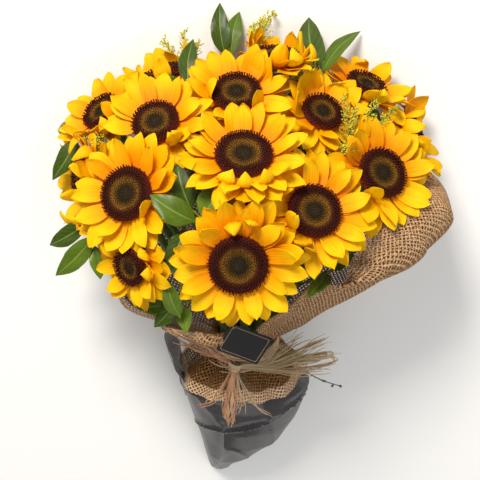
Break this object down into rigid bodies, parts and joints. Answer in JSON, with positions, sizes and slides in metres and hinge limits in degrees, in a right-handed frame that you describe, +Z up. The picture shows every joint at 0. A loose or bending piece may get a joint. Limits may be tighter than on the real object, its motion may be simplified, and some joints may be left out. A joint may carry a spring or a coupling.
{
  "type": "bunch of sunflowers",
  "caption": "Hand-tied bunch of sunflowers with leaves and goldenrod in a burlap wrap with a raffia bow and a film bag on the stems, lying on its back.",
  "frame": {"origin": "on the surface, under the middle of the whole bunch's box", "axes": "+X to the right seen from the front of the bunch, +Y along the stems to the heads, +Z up; the bunch lies on its back with the heads tilted up"},
  "size_m": [0.4054, 0.5132, 0.2239],
  "materials": {
    "petal": "soft satin fresh petal",
    "disc": "matt, granular florets",
    "stem": "green, hairy",
    "leaf": "glossy green leaf",
    "goldenrod": "matt yellow-green buds",
    "burlap": "open jute weave",
    "film": "clear smoky wrapping film",
    "raffia": "dry fibre",
    "card": "satin dark board",
    "twig": "dry"
  },
  "bodies": {
    "root": {"bloom_01_disc": "disc", "bloom_01_petals": "petal", "bloom_02_disc": "disc", "bloom_02_petals": "petal", "bloom_03_disc": "disc", "bloom_03_petals": "petal", "bloom_04_disc": "disc", "bloom_04_petals": "petal", "bloom_05_disc": "disc", "bloom_05_petals": "petal", "bloom_06_disc": "disc", "bloom_06_petals": "petal", "bloom_07_disc": "disc", "bloom_07_petals": "petal", "bloom_08_disc": "disc", "bloom_08_petals": "petal", "bloom_09_disc": "disc", "bloom_09_petals": "petal", "bloom_10_disc": "disc", "bloom_10_petals": "petal", "bloom_11_disc": "disc", "bloom_11_petals": "petal", "bloom_12_disc": "disc", "bloom_12_petals": "petal", "bloom_13_disc": "disc", "bloom_13_petals": "petal", "bloom_14_disc": "disc", "bloom_14_petals": "petal", "bloom_15_disc": "disc", "bloom_15_petals": "petal", "bloom_16_disc": "disc", "bloom_16_petals": "petal", "bloom_17_disc": "disc", "bloom_17_petals": "petal", "burlap_wrap": "burlap", "card": "card", "dry_twig": "twig", "film_bag": "film", "goldenrod_left": "goldenrod", "goldenrod_right": "goldenrod", "goldenrod_top": "goldenrod", "goldenrod_top_left": "goldenrod", "goldenrod_upper_right": "goldenrod", "leaf_sprig_centre": "leaf", "leaf_sprig_front": "leaf", "leaf_sprig_front_left": "leaf", "leaf_sprig_front_right": "leaf", "leaf_sprig_left": "leaf", "leaf_sprig_lower_left": "leaf", "leaf_sprig_top": "leaf", "leaf_sprig_top_left": "leaf", "leaf_sprig_top_right": "leaf", "raffia_bow": "raffia", "raffia_tie": "raffia", "stems_and_calyces": "stem"}
  },
  "joints": []
}
